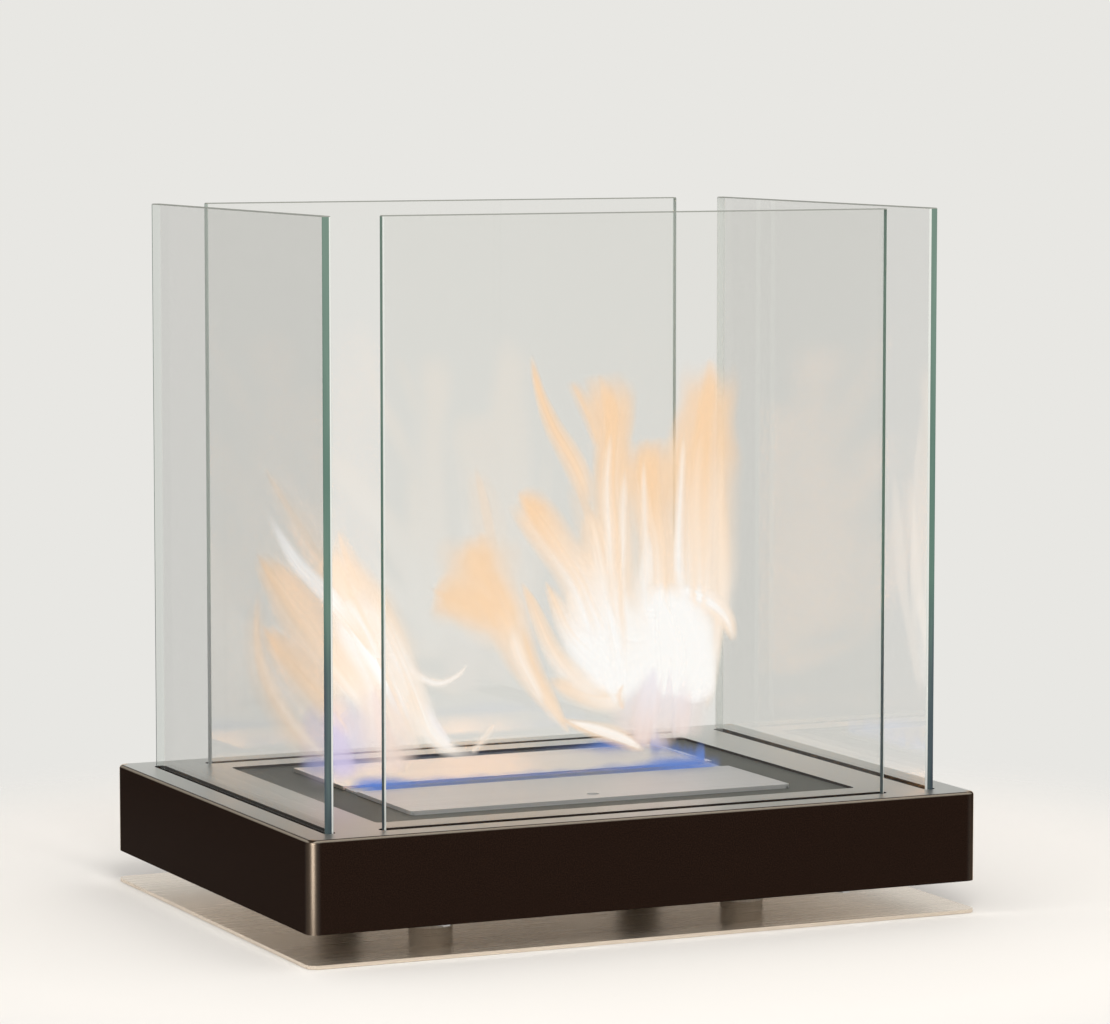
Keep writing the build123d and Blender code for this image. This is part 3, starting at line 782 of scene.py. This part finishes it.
class FIREPLACE_OT_burner(bpy.types.Operator):
    """Brushed, heat-tinted steel on the burner and felted fibre in its tank"""
    bl_idname = "fireplace.burner"
    bl_label = "Burner finishes"

    def execute(self, context):
        looks = context.scene.fireplace_looks
        sheet = brushed_steel("burner_stainless", looks.burner_steel, roughness=0.42, metallic=0.6)
        dress(["burner_tank", "burner_deck", "shutter", "flame_screen"], sheet)
        heated = brushed_steel("heated_stainless", looks.back_steel, roughness=0.3, tint=looks.heat_tint)
        dress(["back_cover"], heated)
        dress(["fibre_block"], ceramic_fibre(looks))
        return {"FINISHED"}


class FIREPLACE_OT_glass(bpy.types.Operator):
    """Clear glass with green edges on the four panes"""
    bl_idname = "fireplace.glass"
    bl_label = "Glass"

    def execute(self, context):
        for side in pane_names:
            dress([side + "_pane"], pane_glass(context.scene.fireplace_looks, side))
        return {"FINISHED"}


class FIREPLACE_OT_right_flames(bpy.types.Operator):
    """The tall flames over the right half of the slot"""
    bl_idname = "fireplace.right_flames"
    bl_label = "Right flames"

    def execute(self, context):
        piece = cluster("right_flames", right_tongues, flame_gas(context.scene.fireplace_looks))
        burn(piece)
        return {"FINISHED"}


class FIREPLACE_OT_middle_flames(bpy.types.Operator):
    """The soft, nearly detached flame in the middle, shaped like a comma"""
    bl_idname = "fireplace.middle_flames"
    bl_label = "Middle flames"

    def execute(self, context):
        piece = cluster("middle_flames", middle_tongues, flame_gas(context.scene.fireplace_looks))
        burn(piece)
        return {"FINISHED"}


class FIREPLACE_OT_left_flames(bpy.types.Operator):
    """The flames that lean out over the left end of the slot"""
    bl_idname = "fireplace.left_flames"
    bl_label = "Left flames"

    def execute(self, context):
        piece = cluster("left_flames", left_tongues, flame_gas(context.scene.fireplace_looks))
        burn(piece)
        return {"FINISHED"}


class FIREPLACE_OT_blue_flames(bpy.types.Operator):
    """The low blue curtains along both lips of the slot and round the rear of the burner"""
    bl_idname = "fireplace.blue_flames"
    bl_label = "Blue flames"

    def execute(self, context):
        end, rear = burner_half - curtain_inset, burner_rear - curtain_inset
        front, back, side = slot_front + curtain_inset, slot_back - curtain_inset, end - curtain_inset
        # Name, the two ends of its line, foot, height and the share of blue along its middle.
        curtains = (
            ("front_blue_flame", (-end, front), (end, front), deck_top, 12 * MM, 0.3),
            ("back_blue_flame", (-end, back), (end, back), deck_top, 12 * MM, 0.3),
            ("rear_blue_flame", (-end, rear), (end, rear), burner_top, 15 * MM, 0.06),
            ("side_blue_flame", (side, slot_back), (side, rear), burner_top, 16 * MM, 0.5),
        )
        for name, first, last, foot, height, share in curtains:
            gas = blue_gas(name.replace("flame", "gas"), context.scene.fireplace_looks, share)
            start_fresh()
            middle = ((first[0] + last[0]) / 2, (first[1] + last[1]) / 2, foot + height / 2)
            length = math.dist(first, last)
            turn = math.atan2(last[1] - first[1], last[0] - first[0])
            bpy.ops.mesh.primitive_grid_add(
                x_subdivisions=curtain_faces[0], y_subdivisions=curtain_faces[1], size=1.0, location=middle,
                rotation=(math.radians(90), 0, turn))
            piece = bpy.context.object
            piece.scale = (length, height, 1.0)
            piece.data.uv_layers[0].name = "Shape"
            settle(piece, name, gas)
            waves = bpy.data.textures.new(name, "CLOUDS")
            waves.noise_scale = curtain_wave
            ripple = piece.modifiers.new("Ripple", "DISPLACE")
            ripple.texture, ripple.strength, ripple.mid_level = waves, curtain_ripple, 0.5
            ripple.direction = "NORMAL"
            wall = piece.modifiers.new("Wall", "SOLIDIFY")
            wall.thickness = curtain_wall
            for modifier in ("Ripple", "Wall"):
                bpy.ops.object.modifier_apply(modifier=modifier)
            burn(piece)
        return {"FINISHED"}


class FIREPLACE_OT_stage(bpy.types.Operator):
    """Plain pale floor and background, soft light and the camera"""
    bl_idname = "fireplace.stage"
    bl_label = "Stage"

    def execute(self, context):
        stage = context.scene.fireplace_stage
        self.add_floor(stage)
        self.light_world(stage)
        self.add_key_light(stage)
        self.add_strip_light(stage)
        self.add_camera(stage)
        context.scene.view_settings.view_transform = "Standard"
        context.scene.cycles.transparent_max_bounces = clear_layers
        return {"FINISHED"}

    def add_floor(self, stage):
        """A floor that fades out, is clear from below, and is open under the base plate."""
        start_fresh()
        bpy.ops.mesh.primitive_circle_add(vertices=96, radius=floor_size, fill_type="NGON")
        finish = Finish("floor")
        x, y, _ = finish.axes(finish.place())
        distance = (x * x + y * y) ** 0.5
        pale = finish.principled(Base_Color=opaque(stage.floor), Roughness=0.9, Specular_IOR_Level=0.1)
        from_below = finish.node("ShaderNodeNewGeometry", output="Backfacing")
        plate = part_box("base_plate")[1]
        under = ((plate.x - abs(x)) > hole_margin) * ((plate.y - abs(y)) > hole_margin)
        fade = distance.rising(stage.floor_near, stage.floor_radius).either(from_below).either(under)
        floor = settle(bpy.context.object, "floor", finish.done(finish.mixed(fade, pale, finish.clear())))
        floor.location.z = -floor_drop

    def light_world(self, stage):
        """Even light from all round. Gloss shows a bright backdrop, and a dimmer room elsewhere."""
        world = bpy.data.worlds.new("studio")
        world.use_nodes = True
        bpy.context.scene.world = world
        sky = Shading(world.node_tree)
        rays = ("Is Camera Ray", "Is Glossy Ray", "Is Transmission Ray")
        camera, glossy, through = (sky.node("ShaderNodeLightPath", output=ray) for ray in rays)
        direction = sky.node("ShaderNodeTexCoord", output="Generated")
        backwards = Vector((math.sin(-stage.azimuth), math.cos(stage.azimuth), backdrop_rise)).normalized()
        facing = sky.node("ShaderNodeVectorMath", {"operation": "DOT_PRODUCT"},
                          {0: direction, 1: backwards}, output="Value")
        backdrop, front = facing.rising(0.6, 0.95), 1.0 - facing.rising(-0.2, 0.3)
        room = stage.room + (1.0 - stage.room) * (backdrop + stage.behind * front)
        seen = camera.either(through)
        strength = seen + (1.0 - seen) * (glossy * room + (1.0 - glossy) * stage.fill_strength)
        colour = sky.blend(camera.either(glossy), opaque(stage.fill_colour), opaque(stage.background))
        light = sky.node("ShaderNodeBackground", inputs={"Color": colour, "Strength": strength})
        sky.node("ShaderNodeOutputWorld", inputs={"Surface": light})

    def add_lamp(self, stage, name, place, power, colour):
        """An area lamp that points at the fireplace."""
        start_fresh()
        bpy.ops.object.light_add(type="AREA", location=place)
        lamp = bpy.context.object
        lamp.name = name
        lamp.data.energy = power
        lamp.data.color = colour
        lamp.rotation_euler = (Vector(stage.aim) - Vector(place)).to_track_quat("-Z", "Y").to_euler()
        return lamp

    def add_key_light(self, stage):
        """A large soft lamp in front and above."""
        lamp = self.add_lamp(stage, "key_light", key_place, stage.key_power, key_colour)
        lamp.data.shape, lamp.data.size = "DISK", key_size

    def add_strip_light(self, stage):
        """A tall soft lamp in front, which shines on the casing only and shows in no pane."""
        lamp = self.add_lamp(stage, "strip_light", strip_place, stage.strip_power, strip_colour)
        lamp.data.shape, (lamp.data.size, lamp.data.size_y) = "RECTANGLE", strip_size
        lamp.visible_diffuse = lamp.visible_transmission = False
        lit = bpy.data.collections.new("lit_by_strip_light")
        lit.objects.link(nodes["casing"])
        lamp.light_linking.receiver_collection = lit

    def add_camera(self, stage):
        """A long lens, a little above the fireplace, from its front left."""
        flat = math.cos(stage.elevation)
        across, along = math.sin(stage.azimuth) * flat, -math.cos(stage.azimuth) * flat
        back = Vector((across, along, math.sin(stage.elevation)))
        bpy.ops.object.camera_add(location=Vector(stage.aim) + back * stage.distance)
        camera = bpy.context.object
        camera.name = "camera"
        camera.rotation_euler = (-back).to_track_quat("-Z", "Y").to_euler()
        camera.data.lens = stage.lens
        bpy.context.scene.camera = camera


class FIREPLACE_PT_panel(bpy.types.Panel):
    """Lists the pieces and finishes of the fireplace"""
    bl_label = "Fireplace"
    bl_idname = "FIREPLACE_PT_panel"
    bl_space_type = "VIEW_3D"
    bl_region_type = "UI"
    bl_category = "Fireplace"

    def draw(self, context):
        for operator in makers:
            self.layout.operator(operator.bl_idname)
        for group in (context.scene.fireplace_looks, context.scene.fireplace_stage):
            box = self.layout.box()
            for name in group.bl_rna.properties.keys():
                if name not in ("rna_type", "name"):
                    box.prop(group, name)


makers = (
    FIREPLACE_OT_stage, FIREPLACE_OT_casing, FIREPLACE_OT_base, FIREPLACE_OT_burner, FIREPLACE_OT_glass,
    FIREPLACE_OT_right_flames, FIREPLACE_OT_middle_flames, FIREPLACE_OT_left_flames,
    FIREPLACE_OT_blue_flames,
)
groups = {"fireplace_looks": FireplaceLooks, "fireplace_stage": FireplaceStage}


def register():
    for made in (*groups.values(), *makers, FIREPLACE_PT_panel):
        bpy.utils.register_class(made)
    for name, group in groups.items():
        setattr(bpy.types.Scene, name, bpy.props.PointerProperty(type=group))


def unregister():
    for name in groups:
        delattr(bpy.types.Scene, name)
    for made in reversed((*groups.values(), *makers, FIREPLACE_PT_panel)):
        bpy.utils.unregister_class(made)


def main():
    register()
    for operator in makers:
        family, name = operator.bl_idname.split(".")
        getattr(getattr(bpy.ops, family), name)()


if __name__ == "__main__":
    main()
